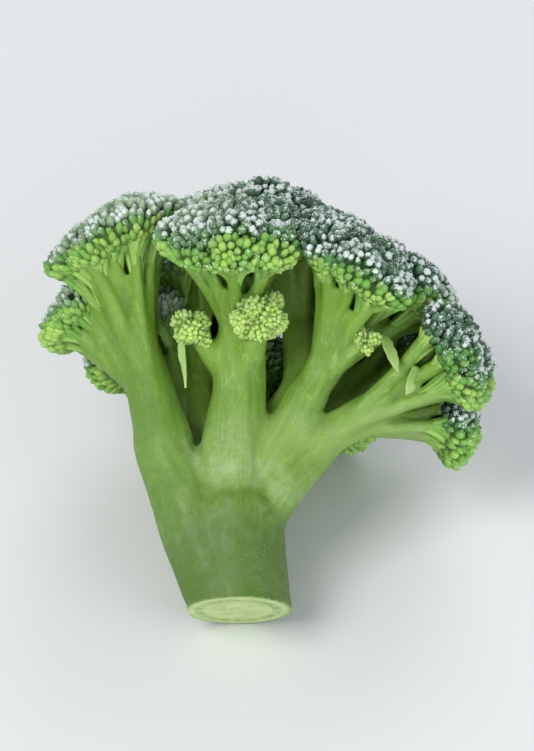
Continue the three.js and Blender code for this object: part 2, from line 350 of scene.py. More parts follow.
def spread(samples, count, rng):
    """Picks count evenly spaced samples: seeds move to the mean of the samples nearest to them, round
    after round (Lloyd's method), and end on the sample nearest to that mean."""
    seeds = samples[rng.choice(len(samples), count, replace=False)]
    for _ in range(LLOYD_ROUNDS):
        owner = nearest(samples, seeds)[0]
        total = np.stack([np.bincount(owner, samples[:, k], count) for k in range(3)], axis=1)
        held = np.bincount(owner, minlength=count)[:, None]
        seeds = np.where(held > 0, total / np.maximum(held, 1), seeds)
    return nearest(seeds, samples)[0]


def nearest(points, targets):
    """For each point, the number of the nearest target and the two smallest distances."""
    squared = (points ** 2).sum(1)[:, None] + (targets ** 2).sum(1)[None] - 2.0 * points @ targets.T
    two = np.argpartition(squared, 1, axis=1)[:, :2]
    both = np.sqrt(np.maximum(np.take_along_axis(squared, two, axis=1), 0.0))
    order = np.argsort(both, axis=1)
    two = np.take_along_axis(two, order, axis=1)
    both = np.take_along_axis(both, order, axis=1)
    return two[:, 0], both[:, 0], both[:, 1]


class Cap:
    """The seat of a bud head: a dome worked out from the head's CAD solid, seen from its own centre.

    Its rows run from the top, v = 0, to the underside, v = pi. Its radius is that of the CAD solid times
    1 + (fullness - 1) sin(v)^2, less the buds' seat, and drawn in below the rim so that the twigs show."""

    ROWS = 40
    COLUMNS = 72

    def __init__(self, node, rim, undercut, spacing, relief, fullness):
        self.node = node
        self.rng = np.random.default_rng(SEED + sum(map(ord, node)))
        self.rim = rim
        self.spacing = spacing
        self.small = spacing / BUD_SPACING  # 1 on a bud head, and less on a side shoot
        self.ribs = None
        tris = triangles(node)
        self.centre = surface_centre(tris)
        if node in SHOOTS:
            self.find_knob(tris)
        self.axis = unit(self.centre - FORK)
        self.lay_grid(tris, undercut, fullness)
        cluster_width = CLUSTER_WIDTH * max(self.small, LEAST_CLUSTER)
        self.clusters = self.place_clusters(cluster_width)
        self.broad_normals = self.grid_normals()
        self.swell(cluster_width, relief)
        self.normals = self.grid_normals()

    def find_knob(self, tris):
        """On a side shoot, whose solid has a stem: the foot of the stem, and the centre of the knob."""
        middles = tris.mean(axis=1)
        far = np.linalg.norm(middles - FORK, axis=1)
        upper = far > far.max() - 0.62 * (far.max() - far.min())
        self.foot = middles[far < far.min() + 1.2].mean(axis=0)
        self.centre = surface_centre(tris[upper])

    def lay_grid(self, tris, undercut, fullness):
        """The dome's grid: its rays from the centre, their angles from the top, and its points."""
        side, other = frame_along(self.axis)
        v = (np.arange(self.ROWS) + 0.5) * np.pi / self.ROWS
        u = np.arange(self.COLUMNS) * 2.0 * np.pi / self.COLUMNS
        vv, uu = np.meshgrid(v, u, indexing="ij")
        across = np.cos(uu)[..., None] * side + np.sin(uu)[..., None] * other
        self.rays = np.cos(vv)[..., None] * self.axis + np.sin(vv)[..., None] * across
        self.angle = np.degrees(vv)
        r = reach(self.centre, self.rays.reshape(-1, 3), tris).reshape(vv.shape)
        r = np.where(r > 0.0, r, np.median(r))
        for _ in range(2):
            r = (2.0 * r + np.roll(r, 1, 1) + np.roll(r, -1, 1)) / 4.0
            padded = np.concatenate([r[:1], r, r[-1:]])
            r = (2.0 * r + padded[:-2] + padded[2:]) / 4.0
        self.size = np.median(r)
        r = r * (1.0 + (fullness - 1.0) * np.sin(vv) ** 2)
        drawn = 1.0 - undercut * smoothstep(self.rim - 4.0, self.rim + 36.0, self.angle)
        self.points = self.centre + self.rays * ((r - BUD_SEAT * self.small) * drawn)[..., None]

    def place_clusters(self, cluster_width):
        """The middles of the swellings, evenly spread over the part of the grid that carries buds."""
        area = self.cell_areas() * (self.angle < self.rim + 12.0)
        weight = area.reshape(-1)
        flat = self.points.reshape(-1, 3)
        picks = flat[self.rng.choice(len(flat), CLUSTER_PICKS, p=weight / weight.sum())]
        count = max(5, int(area.sum() / cluster_width ** 2 * 1.15))
        return picks[spread(picks, count, self.rng)]

    def scatter(self, limit):
        """Evenly spaced places for buds down to a limiting angle from the top, chosen among random points:
        each is at a random place (1 - u)(1 - v)a + u(1 - v)b + (1 - u)vc + uvd in a grid cell. Returns the
        places, their normals, their normals without the swellings, and their angles from the top."""
        fields = [self.points, self.normals, self.broad_normals, self.angle[..., None]]
        fields = np.concatenate(fields, axis=-1)
        a, b = fields[:-1], fields[1:]
        c, d = np.roll(a, -1, axis=1), np.roll(b, -1, axis=1)
        area = np.linalg.norm(np.cross((b - a)[..., :3], (c - a)[..., :3]), axis=-1)
        weight = (area * (a[..., 9] < limit)).reshape(-1)
        count = int(weight.sum() / (BUD_PACKING * self.spacing ** 2))
        cells = self.rng.choice(weight.size, PICKS_PER_BUD * count, p=weight / weight.sum())
        u, v = self.rng.random((2, PICKS_PER_BUD * count, 1))
        a, b, c, d = (corner.reshape(-1, 10)[cells] for corner in (a, b, c, d))
        mixed = (1.0 - u) * (1.0 - v) * a + u * (1.0 - v) * b + (1.0 - u) * v * c + u * v * d
        mixed = mixed[spread(mixed[:, :3], count, self.rng)]
        return mixed[:, :3], unit(mixed[:, 3:6]), unit(mixed[:, 6:9]), mixed[:, 9]

    def cell_areas(self):
        """The area round each grid point, from its neighbours along both directions."""
        p = self.points
        du = np.roll(p, -1, 1) - np.roll(p, 1, 1)
        dv = np.gradient(p, axis=0) * 2.0
        return np.linalg.norm(np.cross(du, dv), axis=-1) / 4.0

    def grid_normals(self):
        """Unit normals of the grid, facing out."""
        p = self.points
        du = np.roll(p, -1, 1) - np.roll(p, 1, 1)
        dv = np.gradient(p, axis=0)
        n = unit(np.cross(dv, du))
        return np.where((n * self.rays).sum(-1, keepdims=True) < 0.0, -n, n)

    def swell(self, cluster_width, relief):
        """Raises each cluster into a small dome and sinks the creases between clusters. A point is in a
        crease where its two nearest cluster centres are almost equally far."""
        flat = self.points.reshape(-1, 3)
        _, d1, d2 = nearest(flat, self.clusters)
        crease = 1.0 - smoothstep(0.0, CREASE_WIDTH, d2 - d1)
        dome = 1.0 - np.clip(d1 / (0.62 * cluster_width), 0.0, 1.0) ** 2
        open_side = 1.0 - smoothstep(100.0, 135.0, self.angle.reshape(-1))
        lift = relief * (0.45 * dome - CREASE_DEPTH * crease) * open_side
        self.points = self.points + self.rays * lift.reshape(self.angle.shape)[..., None]

    def shell(self):
        """The cap as points with its two poles, and its faces."""
        top = self.points[0].mean(axis=0)
        bottom = self.points[-1].mean(axis=0)
        points = np.concatenate([[top], self.points.reshape(-1, 3), [bottom]])
        return points, grid_faces(self.ROWS, self.COLUMNS)


def shade_of(points, normals, cap, bias):
    """0 where a bud grew in the sun and 1 on the pale underside: how far its normal turns towards the
    cut end, and how far below the head's middle it sits."""
    facing = -(normals @ STALK.axis)
    below = -((points - cap.centre) @ STALK.axis) / cap.size
    return smoothstep(-0.24, 0.70, 0.6 * facing + 0.4 * below + bias)


def haze_at(points):
    """How thickly the frost haze lies, from 0 to 1: thickest on the left of the head."""
    return HAZE_LEAST + (1.0 - HAZE_LEAST) * (1.0 - smoothstep(HAZE_FULL, HAZE_END, points[..., 0]))


def bud_head(cap, materials, bias, frost):
    """A bud head: its cap, its flower buds, the thin stalks of the buds near its rim, and the ice grains
    on the buds."""
    rng = cap.rng
    # Height on a bud, how pale it is, its own tone, how deep in a crease, its rime and its frost haze
    shapes = Shapes(["tip", "shade", "tint", "crease", "frosty", "bloom"])

    points, faces = cap.shell()
    normals = np.concatenate([[cap.axis], cap.broad_normals.reshape(-1, 3), [-cap.axis]])
    shade = shade_of(points, normals, cap, bias)
    # The cap's shell shows only between the buds and under the rim: with a tip of 0 and a crease of 1 it
    # takes the darkest painted shade
    shapes.add(points, outward(points, faces, cap.centre), shade=shade, tint=0.3, crease=1.0)

    # Each bud points out of its swelling, and near the rim it turns back up
    seats, normals, broad_normals, angle = cap.scatter(cap.rim + BUD_OVERHANG)
    count = len(seats)
    owner, d1, d2 = nearest(seats, cap.clusters)
    root = cap.clusters[owner] - unit(cap.clusters[owner] - cap.centre) * CLUSTER_WIDTH * 0.75
    hanging = smoothstep(cap.rim - 32.0, cap.rim + BUD_OVERHANG, angle)
    axes = 0.5 * normals + 0.5 * unit(seats - root) + 0.9 * hanging[:, None] * cap.axis
    axes = unit(unit(axes) + rng.normal(0.0, 0.15, axes.shape))

    # Buds are narrower in the creases, in the middle of a swelling and near the rim
    in_crease = 1.0 - smoothstep(0.0, CREASE_WIDTH, d2 - d1)
    young = 1.0 - 0.22 * (1.0 - smoothstep(0.0, 0.45 * CLUSTER_WIDTH, d1))
    width = BUD_WIDTH * cap.small ** 0.8 * rng.uniform(0.80, 1.16, count) * (1.0 - 0.12 * in_crease) * young
    width = width * (1.0 - 0.16 * hanging)
    length = BUD_LENGTH * cap.small * rng.uniform(0.86, 1.15, count) * (1.0 + 0.06 * hanging)
    scales = np.stack([width, width * rng.uniform(0.88, 1.0, count), length], axis=1)
    bases = bases_along(axes, rng.uniform(0.0, np.pi, count))
    origins = seats - axes * ((BUD_SINK + 0.10 * hanging) * length)[:, None]
    placed = copies(BUD, origins, bases, scales)
    lift = np.maximum(FLOOR_CLEARANCE - placed[:, :, 2].min(axis=1), 0.0)
    placed[:, :, 2] += lift[:, None]
    origins[:, 2] += lift

    bud_shade = shade_of(seats, broad_normals, cap, bias) + rng.normal(0.0, 0.04, count)
    bud_shade = np.clip(bud_shade, 0.0, 1.0)
    shapes.add(
        placed,
        copy_faces(BUD_FACES, count, len(BUD)),
        tip=np.tile(BUD[:, 2], count),
        shade=np.repeat(bud_shade, len(BUD)),
        tint=np.repeat(rng.uniform(0.0, 1.0, count), len(BUD)),
        crease=np.repeat(in_crease, len(BUD)),
        frosty=np.repeat(frost * rng.uniform(0.45, 1.0, count), len(BUD)),
        bloom=np.repeat(frost * haze_at(seats), len(BUD)),
    )
    add_grains(shapes, rng, origins, bases, scales, bud_shade, frost)
    if cap.ribs is not None:
        low = angle > cap.rim - PEDICELS_FROM
        add_pedicels(shapes, cap, owner[low], d1[low], origins[low] + axes[low] * 0.15)
    return shapes.build(cap.node + "_buds", materials)


def add_pedicels(shapes, cap, owner, apart, ends):
    """The thin stalks of some buds, as closed tubes. Each leaves its swelling's rib, the lower the further
    out its bud is, and follows p = (1 - t)^2 a + 2t(1 - t) b + t^2 c to the bud."""
    steps, sides = 6, 6
    count = len(ends)
    leaves = np.clip(10.0 - 1.7 * apart, 4, 10).astype(int)
    start = cap.ribs[owner, leaves]
    ahead = unit(start - cap.ribs[owner, leaves - 1])
    span = np.linalg.norm(ends - start, axis=1)[:, None]
    bend = start + ahead * 0.55 * span
    t = np.linspace(0.0, 1.0, steps)[:, None]
    line = (1.0 - t) ** 2 * start[:, None] + 2.0 * t * (1.0 - t) * bend[:, None] + t ** 2 * ends[:, None]
    tangent = unit(np.gradient(line, axis=1))
    side = bases_along(tangent[:, 0], np.zeros(count))[:, :1]
    side = unit(side - tangent * (tangent * side).sum(-1, keepdims=True))[:, :, None]
    other = np.cross(tangent[:, :, None], side)
    a = (np.arange(sides) * 2.0 * np.pi / sides)[:, None]
    radius = PEDICEL_RADIUS * cap.rng.uniform(0.8, 1.2, (count, 1, 1, 1))
    rings = line[:, :, None] + radius * (np.cos(a) * side + np.sin(a) * other)
    points = np.concatenate([line[:, :1], rings.reshape(count, -1, 3), line[:, -1:]], axis=1)
    faces = outward(points[0], grid_faces(steps, sides), points[0].mean(axis=0))
    shapes.add(
        points,
        copy_faces(faces, count, points.shape[1]),
        tip=0.72,
        shade=np.repeat(cap.rng.uniform(0.75, 1.0, count), points.shape[1]),
        tint=np.repeat(cap.rng.uniform(0.2, 1.0, count), points.shape[1]),
    )


def outward(points, faces, centre):
    """The faces, all turned round if the shell faces in: its volume is the sum of its corner products."""
    volume = 0.0
    for block in faces:
        a, b, c = (points[block[:, k]] - centre for k in range(3))
        volume += (a * np.cross(b, c)).sum()
    return faces if volume > 0.0 else [block[:, ::-1] for block in faces]


OCTAHEDRON = np.array([[1, 0, 0], [-1, 0, 0], [0, 1, 0], [0, -1, 0], [0, 0, 1], [0, 0, -1]], float)
OCTAHEDRON_FACES = [
    np.array([[0, 2, 4], [2, 1, 4], [1, 3, 4], [3, 0, 4], [2, 0, 5], [1, 2, 5], [3, 1, 5], [0, 3, 5]])
]


def add_grains(shapes, rng, origins, bases, scales, shade, frost):
    """Ice grains on the upper part of the buds: small stretched octahedra at a random height and angle
    on a bud's surface, lifted where they would pass through the floor."""
    bare = 1.0 - 0.6 * haze_at(origins)
    count = int(GRAINS_PER_BUD * frost * bare.sum())
    weight = bare * (1.0 - 0.8 * shade) * rng.uniform(0.05, 1.0, len(origins)) ** 2
    bud = rng.choice(len(origins), count, p=weight / weight.sum())
    t = rng.uniform(0.0, 1.0, count) ** 0.55 * 0.42 + 0.58
    a = rng.uniform(0.0, 2.0 * np.pi, count)
    r = bud_radius(t)
    on_bud = np.stack([r * np.cos(a), r * np.sin(a), t], axis=1) * scales[bud]
    places = origins[bud] + np.einsum("nk,nkj->nj", on_bud, bases[bud])
    size = GRAIN_SIZE * rng.uniform(0.35, 1.0, (count, 1)) * rng.uniform(0.5, 1.3, (count, 3))
    turned = bases_along(unit(rng.normal(size=(count, 3))), rng.uniform(0.0, np.pi, count))
    placed = copies(OCTAHEDRON, places, turned, size)
    placed[:, :, 2] += np.maximum(-placed[:, :, 2].min(axis=1), 0.0)[:, None]
    shapes.add(placed, copy_faces(OCTAHEDRON_FACES, count, len(OCTAHEDRON)), material=1, frosty=1.0)


# ---------------------------------------------------------------- the stalk, branches and twigs

FLUTES = 5  # shallow grooves round each thick stem
FIBRE_HEIGHT = 0.10  # of the fine lengthwise ridges on the stems
FORK_FILL = 0.7  # how far a hollow between two thick stems fills in
# Rounds of smoothing: to take the steps out of the voxel mesh, to fill the forks, and to find hollows
STEP_ROUNDS = 6
FORK_ROUNDS = 24
HOLLOW_ROUNDS = 60


def along_curve(knots, count):
    """Evenly numbered points on the Catmull-Rom curve through the knots:
    p = (2b + (c - a)t + (2a - 5b + 4c - d)t^2 + (3b - a - 3c + d)t^3) / 2 on each stretch."""
    knots = np.asarray(knots, float)
    ends = np.concatenate([[2.0 * knots[0] - knots[1]], knots, [2.0 * knots[-1] - knots[-2]]])
    s = np.linspace(0.0, len(knots) - 1.0, count)
    k = np.minimum(s.astype(int), len(knots) - 2)
    t = (s - k)[:, None]
    a, b, c, d = ends[k], ends[k + 1], ends[k + 2], ends[k + 3]
    return (2 * b + (c - a) * t + (2 * a - 5 * b + 4 * c - d) * t ** 2 + (3 * b - a - 3 * c + d) * t ** 3) / 2


def line_frames(line):
    """At each point of a line, three unit vectors: one along it and two across it. The second is one
    vector laid flat against each place in turn, so it hardly turns round the line."""
    ahead = unit(np.gradient(line, axis=0))
    side, _ = frame_along(ahead[0])
    side = unit(side - ahead * (ahead @ side)[:, None])
    return ahead, side, np.cross(ahead, side)


def tube(line, radii, sides, depth=0.0, phase=0.0):
    """A closed tube along a line of points: at each point a ring of radius r(1 + depth cos(FLUTES a +
    phase)) in the plane across the line."""
    _, side, other = line_frames(line)
    a = np.arange(sides) * 2.0 * np.pi / sides
    r = radii[:, None] * (1.0 + depth * np.cos(FLUTES * a + phase))
    across = np.cos(a)[:, None] * side[:, None] + np.sin(a)[:, None] * other[:, None]
    rings = line[:, None] + r[..., None] * across
    points = np.concatenate([[line[0]], rings.reshape(-1, 3), [line[-1]]])
    return points, outward(points, grid_faces(len(line), sides), points.mean(axis=0))


class Stem:
    """A branch with its twigs, measured from its CAD solid: its line as the mean of thin shells of its
    surface round the place where it leaves the stalk, its radius, and where each of its twigs ends. Each
    twig ends in ribs, one to every swelling of its bud head."""

    # The shells, as shares of the way from the foot to the bud heads
    SHELLS = ((0.26, 0.40), (0.40, 0.54), (0.54, 0.66))
    STEPS = 40

    def __init__(self, node, caps, rng):
        points, weight = middles_of(triangles(node))
        self.heads = [caps[name] for name in CARRIED[node]]
        self.forked = len(self.heads) > 1
        self.trace(points, weight, STOUTNESS.get(node, 1.0))
        self.lines = []
        for cap in self.heads:
            to_head = np.linalg.norm(points - cap.centre, axis=1)
            tip = points[to_head < to_head.min() + 1.5].mean(axis=0)
            line, radii = self.line_to(cap, tip)
            self.lines.append((line, radii))
            cap.ribs = np.array([rib_to(cap, cluster, line, rng) for cluster in cap.clusters])
            cap.rib_sizes = rng.uniform(0.85, 1.15, len(cap.clusters))

    def footing(self, points, weight):
        """Where the branch begins inside the stalk and where it comes out: both stand off the stalk's
        line, on the side of the solid's lowest part."""
        rise, off = off_a_line(points, STALK.cut, STALK.axis)
        start = rise.min()
        low = rise < start + 3.0
        off_line = np.average(off[low], axis=0, weights=weight[low])
        distance = np.linalg.norm(off_line)
        away = unit(off_line)
        root = STALK.cut + STALK.axis * (start - 5.5) + away * min(STALK.radius * 0.30, 0.4 * distance)
        foot = STALK.cut + STALK.axis * (start + 0.5) + away * min(STALK.radius * 0.62, 0.7 * distance)
        return root, foot

    def trace(self, points, weight, stoutness):
        """Sets the branch's radius, and the knots of its line as far as its twigs."""
        root, foot = self.footing(points, weight)
        middle = np.mean([cap.centre for cap in self.heads], axis=0)
        share = np.linalg.norm(points - foot, axis=1) / np.linalg.norm(middle - foot)
        knots = [root, foot]
        widths = []
        for low, high in self.SHELLS:
            near = (share > low) & (share < high)
            centre = np.average(points[near], axis=0, weights=weight[near])
            ahead = unit(centre - knots[-1])
            apart = points[near] - centre
            apart = apart - (apart @ ahead)[:, None] * ahead
            knots.append(centre)
            widths.append(np.percentile(np.linalg.norm(apart, axis=1), 45))
        self.radius = np.median(widths) * stoutness
        self.knots = knots[:-1] if self.forked else knots

    def line_to(self, cap, tip):
        """The line and radii from inside the stalk to inside a bud head: widest at the foot, narrower past
        the fork, and narrower again where the ribs leave."""
        inside = cap.centre + cap.axis * cap.size * 0.15
        line = along_curve(self.knots + [tip, inside], self.STEPS)
        t = np.linspace(0.0, 1.0, self.STEPS)
        foot_at = 1.0 / (len(self.knots) + 1.0)
        past_fork = 0.30 if self.forked else 0.12
        radii = self.radius * (1.25 - 0.25 * smoothstep(foot_at, foot_at + 0.2, t))
        radii = radii * (1.0 - past_fork * smoothstep(0.5, 0.75, t)) * (1.0 - 0.5 * smoothstep(0.62, 0.82, t))
        return line, radii


def rib_to(cap, cluster, line, rng):
    """The line of the rib that carries a swelling of a bud head: it leaves the twig, lower for a swelling
    at the side of the head than for one at its top, and bends up to the swelling."""
    outwards = unit(cluster - cap.centre)
    begin = line[int(np.clip(25.0 + 5.0 * (outwards @ cap.axis) + rng.uniform(-2.0, 2.0), 20, 32))]
    end = cluster - outwards * 0.8
    bow = (begin + end) / 2.0 + (cap.axis * 0.06 - outwards * 0.02) * np.linalg.norm(end - begin)
    return along_curve([begin, bow, end], 12)


def stalk_line():
    """The stalk's line and radii: it begins a little past the cut, so that the cut can be made flat, and
    closes over inside the fork."""
    steps = 24
    start = STALK.cut - STALK.axis * 0.9
    line = along_curve([start, STALK.cut + STALK.axis * STALK.length * 0.5, FORK], steps)
    t = np.linspace(0.0, 1.0, steps)
    waist = 0.98 - 0.04 * np.sin(np.pi * np.clip(t * 1.6, 0, 1))
    return line, STALK.radius * (waist - 0.58 * smoothstep(0.54, 1.0, t))


def shoot_stem(cap, lines):
    """The tube that carries a side shoot: it leaves the nearest stem seven steps below the shoot's foot,
    swells towards the foot and narrows again inside the knob."""
    steps, below = 14, 7
    squared = [((line - cap.foot) ** 2).sum(1) for line, _, _ in lines]
    parent = int(np.argmin([values.min() for values in squared]))
    line = lines[parent][0]
    base = line[max(int(squared[parent].argmin()) - below, 0)]
    path = along_curve([base, (base + 2.0 * cap.foot) / 3.0, cap.centre], steps)
    t = np.linspace(0.0, 1.0, steps)
    thickness = 0.25 + 0.40 * smoothstep(0.0, 0.5, t) - 0.25 * smoothstep(0.5, 1.0, t)
    return tube(path, cap.size * thickness, 16)


def stem_tubes(limbs, shoots):
    """Closed tubes for the stalk, the branches with their twigs and ribs, and the side shoots. Also returns
    the line and radii of each thick stem, with a number that the twigs of one branch share."""
    rng = np.random.default_rng(SEED)
    parts = Shapes([])
    line, radii = stalk_line()
    parts.add(*tube(line, radii, 40, 0.02, 0.6))
    lines = [(line, radii, 0)]
    for kin, limb in enumerate(limbs, 1):
        for (line, radii), cap in zip(limb.lines, limb.heads):
            parts.add(*tube(line, radii, 26, 0.035, rng.uniform(0, 6.28)))
            lines.append((line, radii, kin))
            for rib, size in zip(cap.ribs, cap.rib_sizes):
                parts.add(*tube(rib, size * np.linspace(0.95, 0.70, len(rib)), 12))
    for cap in shoots:
        parts.add(*shoot_stem(cap, lines))
    return parts, lines


def joined(parts):
    """The tubes joined into one closed skin of small quads by a voxel mesh: its points and its faces."""
    rough = parts.build("stems_rough", [])
    rough.data.transform(Matrix.Scale(1.0 / MM, 4))
    remesh = rough.modifiers.new("join", "REMESH")
    remesh.mode = "VOXEL"
    remesh.voxel_size = VOXEL
    graph = bpy.context.evaluated_depsgraph_get()
    skin = bpy.data.meshes.new_from_object(rough.evaluated_get(graph))
    bpy.data.objects.remove(rough)
    points, quads = mesh_arrays(skin)
    bpy.data.meshes.remove(skin)
    return points, quads


def stems(materials, limbs, shoots):
    """The stalk, its branches, their twigs and ribs as one body: closed tubes along measured lines,
    joined by a voxel mesh and smoothed where they meet."""
    parts, lines = stem_tubes(limbs, shoots)
    points, quads = joined(parts)
    edges = edge_list(quads)
    points = even_out(points, edges, STEP_ROUNDS)

    # The forks fill in: where a broadly smoothed skin lies outside this one, this one moves towards it,
    # fully between thick stems and hardly at all between ribs
    _, gap = fibres_at(points, lines)
    share = FORK_FILL * (0.15 + 0.85 * (1.0 - smoothstep(0.3, 1.0, gap)))
    for _ in range(2):
        broad = even_out(points, edges, FORK_ROUNDS, shrink=True)
        dip = ((broad - points) * vertex_normals(points, quads)).sum(1)
        points = points + (broad - points) * (share * smoothstep(0.02, 0.35, dip))[:, None]
    points = even_out(points, edges, 3)

    # The knife's cut: whatever stands past its plane is pressed flat onto it
    past_cut = (points - STALK.cut) @ STALK.cut_normal
    points = points - np.maximum(past_cut, 0.0)[:, None] * STALK.cut_normal
    on_cut = smoothstep(-0.05, 0.0, (points - STALK.cut) @ STALK.cut_normal)

    normals = vertex_normals(points, quads)
    broad = even_out(points, edges, HOLLOW_ROUNDS, shrink=True)
    hollow = ((broad - points) * normals).sum(1)
    rise = (points - STALK.cut) @ STALK.axis / STALK.length
    fibre, _ = fibres_at(points, lines)
    points = points + normals * (FIBRE_HEIGHT * fibre * (1.0 - on_cut))[:, None]
    _, off_axis = off_a_line(points, STALK.cut, STALK.axis)

    # How deep between stems, how far from the cut to the fork, whether on the cut, how high the fibres
    # stand, and how far from the stalk's line
    shapes = Shapes(["hollow", "rise", "cut", "fibre", "core"])
    shapes.add(
        points,
        [quads],
        hollow=smoothstep(-0.1, 0.9, hollow),
        rise=rise,
        cut=on_cut,
        fibre=fibre,
        core=np.linalg.norm(off_axis, axis=1) / STALK.radius,
    )
    return shapes.build("stalk_and_branches", materials)


LEAF_SLIMNESS = 0.62  # a scale leaf's width, as a share of its CAD solid's


def leaf_place(node):
    """Where a scale leaf's CAD solid lies: its centre, the unit vectors along it, across it and out of its
    face, the places along it where it starts and ends, and its half width. The first two vectors are those
    along which its surface spreads most and second most, and it points to the narrower end."""
    tris = triangles(node)
    points, weight = middles_of(tris)
    centre = np.average(points, axis=0, weights=weight)
    covariance = (points - centre).T @ ((points - centre) * weight[:, None])
    _, axes = np.linalg.eigh(covariance)
    long_way, wide_way = axes[:, 2], axes[:, 1]
    along = (points - centre) @ long_way
    wide = np.abs((points - centre) @ wide_way)
    if wide[along > 0].mean() > wide[along < 0].mean():
        long_way = -long_way
    corners = tris.reshape(-1, 3) - centre
    along = corners @ long_way
    half_width = np.abs(corners @ wide_way).max()
    face = np.cross(long_way, wide_way)
    if face @ (centre - FORK) < 0.0:
        face = -face
    return centre, (long_way, wide_way, face), (along.min(), along.max()), half_width


def bract(node, materials):
    """A scale leaf in the place of its CAD solid: lens-shaped sections carried from its root to its
    pointed tip. The half width goes as t^0.35 (1 - t)^0.85, torn a little along both edges. The section
    rises towards its edges as x^2 and has a rib down its back. The leaf turns and bends out along its
    length."""
    centre, (long_way, wide_way, face), (start, end), half_width = leaf_place(node)
    half_width = half_width * LEAF_SLIMNESS
    rows, sides = 40, 28
    t = (np.arange(rows) + 0.5) / rows
    a = np.arange(sides) * 2.0 * np.pi / sides
    half = half_width * (t / 0.3) ** 0.35 * ((1.0 - t) / 0.7) ** 0.85
    tt, aa = np.meshgrid(t, a, indexing="ij")
    right = np.cos(aa) > 0.0
    torn = 0.10 * np.sin(8.0 * tt + 2.3 * right) + 0.05 * np.sin(23.0 * tt + 4.0 * right)
    x = half[:, None] * np.cos(aa) * (1.0 + torn)
    thick = 0.26 * (1.0 - 0.6 * tt)
    rib = 0.16 * np.exp(-(x / 0.25) ** 2) * (1.0 - tt) * (np.sin(aa) < 0)
    z = thick * np.sin(aa) * np.abs(np.sin(aa)) ** 0.2 - rib + 0.35 * x ** 2 / half_width
    turned = 0.9 * (tt - 0.3)
    across = x * np.cos(turned) - z * np.sin(turned)
    out = x * np.sin(turned) + z * np.cos(turned) + 0.5 * tt ** 2
    y = start + (end - start) * tt
    grid = centre + across[..., None] * wide_way + y[..., None] * long_way + out[..., None] * face
    ends = [grid[0].mean(axis=0), grid[-1].mean(axis=0)]
    shell = np.concatenate([ends[:1], grid.reshape(-1, 3), ends[1:]])
    shapes = Shapes(["across", "lengthwise"])
    shapes.add(
        shell,
        outward(shell, grid_faces(rows, sides), centre),
        across=np.concatenate([[0.0], x.reshape(-1), [0.0]]),
        lengthwise=np.concatenate([[0.0], tt.reshape(-1), [1.0]]),
    )
    return shapes.build(node + "_leaf", materials)


def mesh_arrays(mesh):
    """A mesh's points and its four-sided faces."""
    points = np.empty(len(mesh.vertices) * 3)
    mesh.vertices.foreach_get("co", points)
    corners = np.empty(len(mesh.loops), int)
    mesh.loops.foreach_get("vertex_index", corners)
    return points.reshape(-1, 3), corners.reshape(-1, 4)


def edge_list(quads):
    """Each edge of a quad mesh once, as pairs of point numbers."""
    pairs = np.concatenate([quads[:, [0, 1]], quads[:, [1, 2]], quads[:, [2, 3]], quads[:, [3, 0]]])
    return np.unique(np.sort(pairs, axis=1), axis=0)


def neighbour_mean(points, edges):
    """The mean of each point's neighbours along the edges."""
    a, b = edges[:, 0], edges[:, 1]
    count = len(points)
    degree = np.bincount(a, minlength=count) + np.bincount(b, minlength=count)
    total = [
        np.bincount(a, points[b, k], count) + np.bincount(b, points[a, k], count) for k in range(3)
    ]
    return np.stack(total, axis=1) / np.maximum(degree, 1)[:, None]


def even_out(points, edges, rounds, shrink=False):
    """Smooths a mesh: each point moves 0.55 of the way to its neighbours' mean and, unless it may
    shrink, 0.57 of the way back (Taubin's method)."""
    for _ in range(rounds):
        points = points + 0.55 * (neighbour_mean(points, edges) - points)
        if not shrink:
            points = points - 0.57 * (neighbour_mean(points, edges) - points)
    return points


def vertex_normals(points, quads):
    """Unit normals at the points: the sum of the normals of the faces round each."""
    diagonals = np.cross(points[quads[:, 2]] - points[quads[:, 0]], points[quads[:, 3]] - points[quads[:, 1]])
    total = np.zeros_like(points)
    for k in range(4):
        for axis in range(3):
            total[:, axis] += np.bincount(quads[:, k], diagonals[:, axis], len(points))
    return unit(total)


def fibres_at(points, lines):
    """How high the lengthwise fibres stand at each point, from -1 to 1: for each stem a sum of cosines
    of the angle round it, which drift slowly along it, and between stems the mean weighted by how near
    each stem's own surface is. Also returns how far each point lies outside the nearest stem."""
    total = np.zeros(len(points))
    least = np.full(len(points), np.inf)
    weights = np.full(len(points), 0.05)
    for line, radii, kin in lines:
        turn = np.random.default_rng(SEED + kin)
        ahead, side, other = line_frames(line)
        run = np.concatenate([[0.0], np.cumsum(np.linalg.norm(np.diff(line, axis=0), axis=1))])
        squared = (points ** 2).sum(1)[:, None] + (line ** 2).sum(1)[None] - 2.0 * points @ line.T
        k = squared.argmin(axis=1)
        gap = np.sqrt(np.maximum(squared[np.arange(len(points)), k], 0.0)) - radii[k]
        to = points - line[k]
        angle = np.arctan2((to * other[k]).sum(1), (to * side[k]).sum(1))
        along = run[k] + (to * ahead[k]).sum(1)
        value = np.zeros(len(points))
        for waves in (3, 5, 8, 11, 14, 17):
            drift = 0.35 * np.sin(along * turn.uniform(0.15, 0.4) + turn.uniform(0, 6.28))
            value += np.cos(waves * (angle + drift / 2.0) + turn.uniform(0, 6.28)) / waves ** 0.25
        near = np.exp(-np.maximum(gap + 0.3, 0.0) / 0.5)
        total += near * value / 2.6
        weights += near
        least = np.minimum(least, gap)
    return total / weights, least


# ---------------------------------------------------------------- materials

def linear(hex_colour):
    """A colour such as "#7faf45" as linear red, green, blue and alpha."""
    c = np.array([int(hex_colour[i:i + 2], 16) for i in (1, 3, 5)]) / 255.0
    return (*np.where(c <= 0.04045, c / 12.92, ((c + 0.055) / 1.055) ** 2.4), 1.0)


